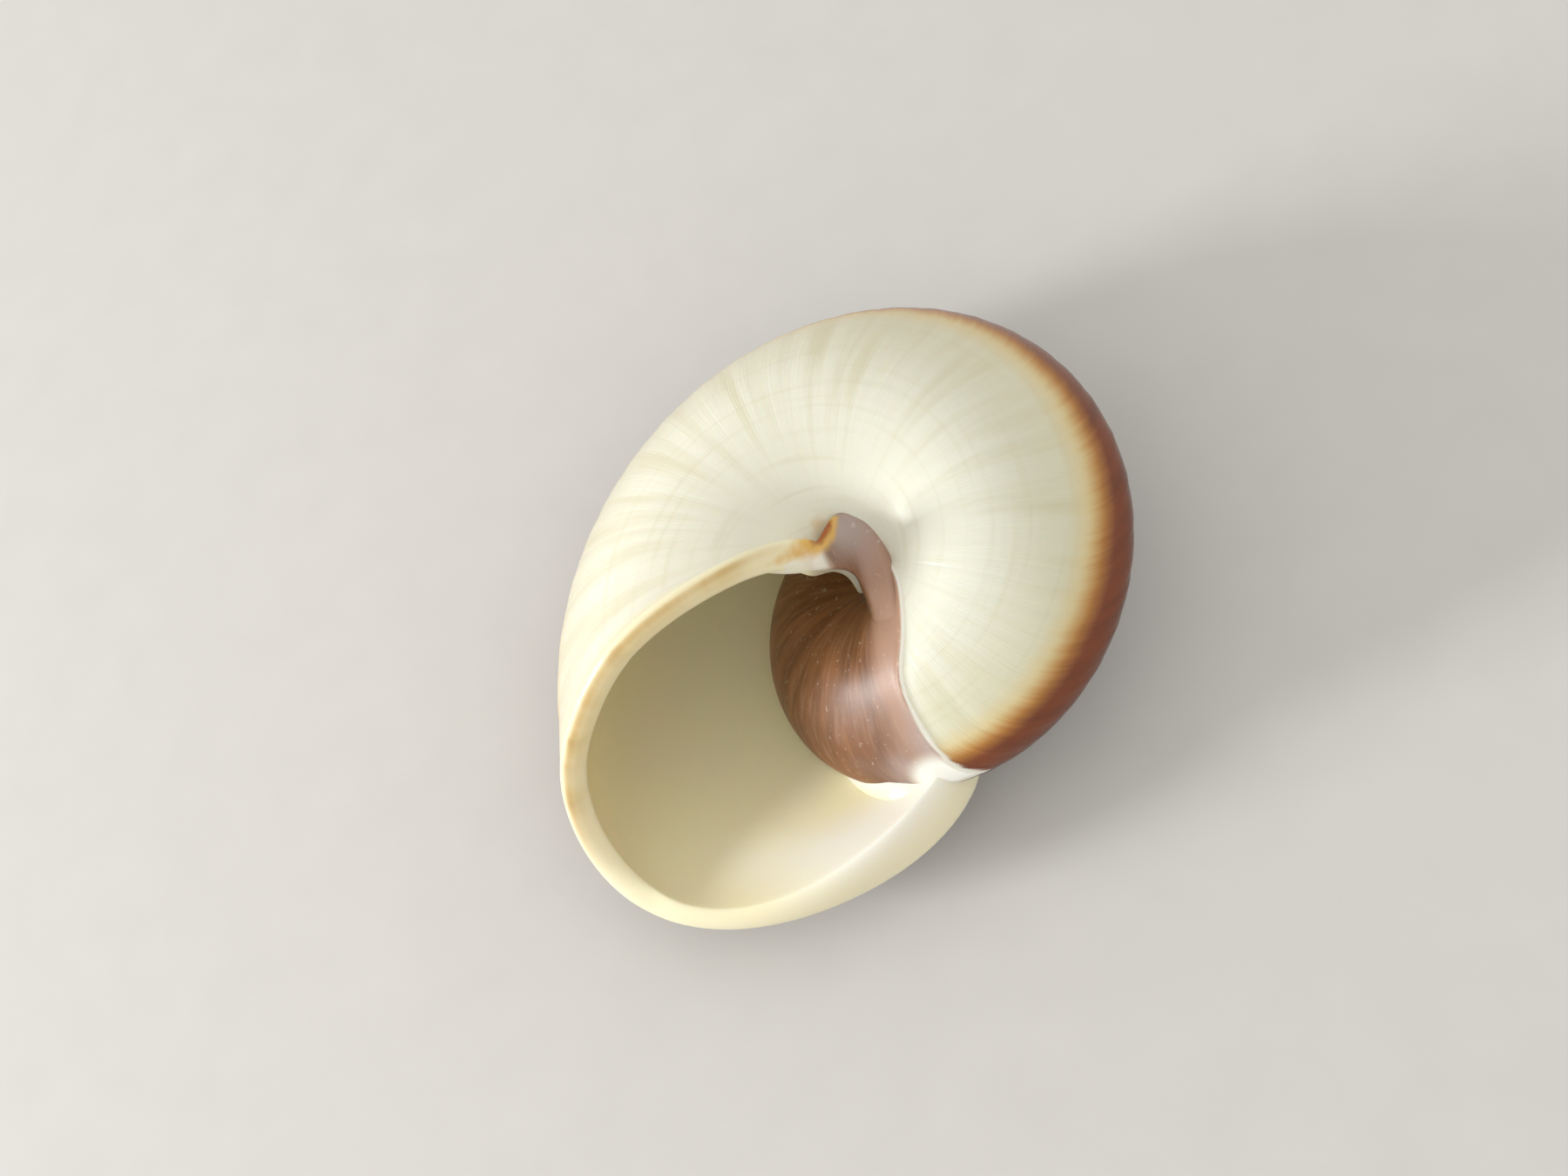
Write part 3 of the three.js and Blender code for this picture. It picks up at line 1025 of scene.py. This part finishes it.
def rim_colour(tree, colour, turn, place, side):
    """Worn tan on the rim of the outer lip, with an ochre line along it."""
    rim = between(tree, side, *RIM_SIDE)
    wear = ranged(tree, grain(tree, turn, place, RIM_WEAR), *WEAR_ON_RIM, to_low=LEAST_RIM_WEAR)
    outer_lip = between(tree, place, *WORN_PLACES)
    worn = product(tree, rim, wear, outer_lip)
    line = between(tree, side, *RIM_LINE_SIDE)
    colour = tinted(tree, colour, LIP_TAN, worn, RIM_TAN_SHARE)
    return tinted(tree, colour, LIP_OCHRE, product(tree, line, worn), RIM_OCHRE_SHARE)


def stained_colour(tree, colour, stain):
    """Blotched orange stain with a paler edge."""
    uneven = maths(tree, "SUBTRACT", speckle(tree, BLOTCH_SCALE), NOISE_MIDDLE)
    blotches = maths(tree, "ADD", stain, product(tree, uneven, STAIN_BLOTCHINESS))
    blotches = product(tree, blotches, ranged(tree, stain, *STAIN_LIMIT))
    colour = mixed(tree, ranged(tree, blotches, *STAIN_EDGE_SHOWS), colour, STAIN_EDGE)
    return mixed(tree, ranged(tree, blotches, *STAIN_SHOWS), colour, STAIN)


def growth_lines(tree, turn, place, side, callus, reach):
    """Height of the fine growth lines, which only the outside has and the callus nearly hides."""
    lines = product(tree, grain(tree, turn, place, FINE_LINES), reach)
    on_outside = ranged(tree, side, *LINES_STOP)
    through_callus = ranged(tree, callus, 0.0, 1.0, to_low=1.0, to_high=LINES_LEFT_ON_CALLUS)
    return product(tree, lines, on_outside, through_callus)


def new_material(name):
    material = bpy.data.materials.new(name)
    material.use_nodes = True
    return material, material.node_tree, material.node_tree.nodes["Principled BSDF"]


def shell_material():
    material, tree, shader = new_material("polished_shell")
    turn, place, side, callus = (field(tree, name) for name in FIELDS)
    reach, stain, lavender, white = (field(tree, name) for name in ("reach", "stain", "lavender", "white"))

    outside = outside_colour(tree, turn, place, reach)
    outside = mixed(tree, ranged(tree, turn, *LIP_TURNS_CREAM), outside, LIP_CREAM)
    outside = glazed_colour(tree, outside, callus_colour(tree, turn, place, lavender, white), callus)
    inside = inside_colour(tree, turn, place, white)
    colour = mixed(tree, ranged(tree, side, *OUTSIDE_TO_INSIDE), outside, inside)
    colour = rim_colour(tree, colour, turn, place, side)
    colour = stained_colour(tree, colour, stain)

    height = growth_lines(tree, turn, place, side, callus, reach)
    relief = {"Height": height, "Strength": LINE_STRENGTH, "Distance": LINE_DEPTH * METRE}
    polish = ranged(tree, height, 0.0, LINE_TOP, ROUGH_BETWEEN_LINES, ROUGH_ON_LINES)
    set_inputs(tree, shader, {
        "Base Color": colour,
        "Normal": add(tree, "ShaderNodeBump", relief).outputs["Normal"],
        "Roughness": maths(tree, "ADD", polish, product(tree, callus, ROUGHER_ON_CALLUS)),
        "Subsurface Weight": GLOW_WEIGHT,
        "Subsurface Radius": GLOW_RADIUS,
        "Subsurface Scale": GLOW_DEPTH * METRE,
    })
    return material


def floor_material():
    material, tree, shader = new_material("pale_floor")
    mottle = add(tree, "ShaderNodeTexNoise", {"Scale": FLOOR_SCALE, "Detail": 2.0}).outputs["Fac"]
    set_inputs(tree, shader, {
        "Base Color": mixed(tree, mottle, FLOOR_GREY, FLOOR_PALE),
        "Roughness": FLOOR_ROUGHNESS,
    })
    return material


# The piece and the studio

def make_shell():
    shell = new_object("snail_shell", finished_mesh())
    shell.data.materials.clear()
    shell.data.materials.append(shell_material())
    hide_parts("shell")
    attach(shell, "root")


def make_floor():
    mesh = bpy.data.meshes.new("floor")
    half = FLOOR_SIZE * METRE / 2
    corners = [(-half, -half, 0), (half, -half, 0), (half, half, 0), (-half, half, 0)]
    mesh.from_pydata(corners, [], [(0, 1, 2, 3)])
    mesh.materials.append(floor_material())
    floor = new_object("floor", mesh)


def make_light():
    lamp = bpy.data.lights.new("key", "AREA")
    lamp.shape = "DISK"
    lamp.size = KEY_SIZE * METRE
    lamp.energy = KEY_POWER
    key = new_object("key", lamp)
    key.location = (SHELL_MIDDLE + KEY_DIRECTION.normalized() * KEY_DISTANCE) * METRE
    key.rotation_mode = "QUATERNION"
    key.rotation_quaternion = KEY_DIRECTION.to_track_quat("Z", "Y")
    world = bpy.data.worlds.new("studio")
    world.use_nodes = True
    fill = {"Color": FILL_COLOUR, "Strength": FILL_STRENGTH}
    set_inputs(world.node_tree, world.node_tree.nodes["Background"], fill)
    bpy.context.scene.world = world
    bpy.context.scene.view_settings.view_transform = "Standard"


def make_camera():
    lens = bpy.data.cameras.new("camera")
    lens.lens = CAMERA_LENS
    lens.sensor_width = CAMERA_SENSOR
    lens.clip_start = CAMERA_NEAREST * METRE
    camera = new_object("camera", lens)
    back = Vector(CAMERA_BACK).normalized()
    up = back.cross(Vector(CAMERA_RIGHT)).normalized()
    right = up.cross(back)
    turned = Matrix((right, up, back)).transposed()
    camera.matrix_world = Matrix.Translation(Vector(CAMERA_PLACE) * METRE) @ turned.to_4x4()
    bpy.context.scene.camera = camera


make_camera()
make_light()
make_floor()
make_shell()
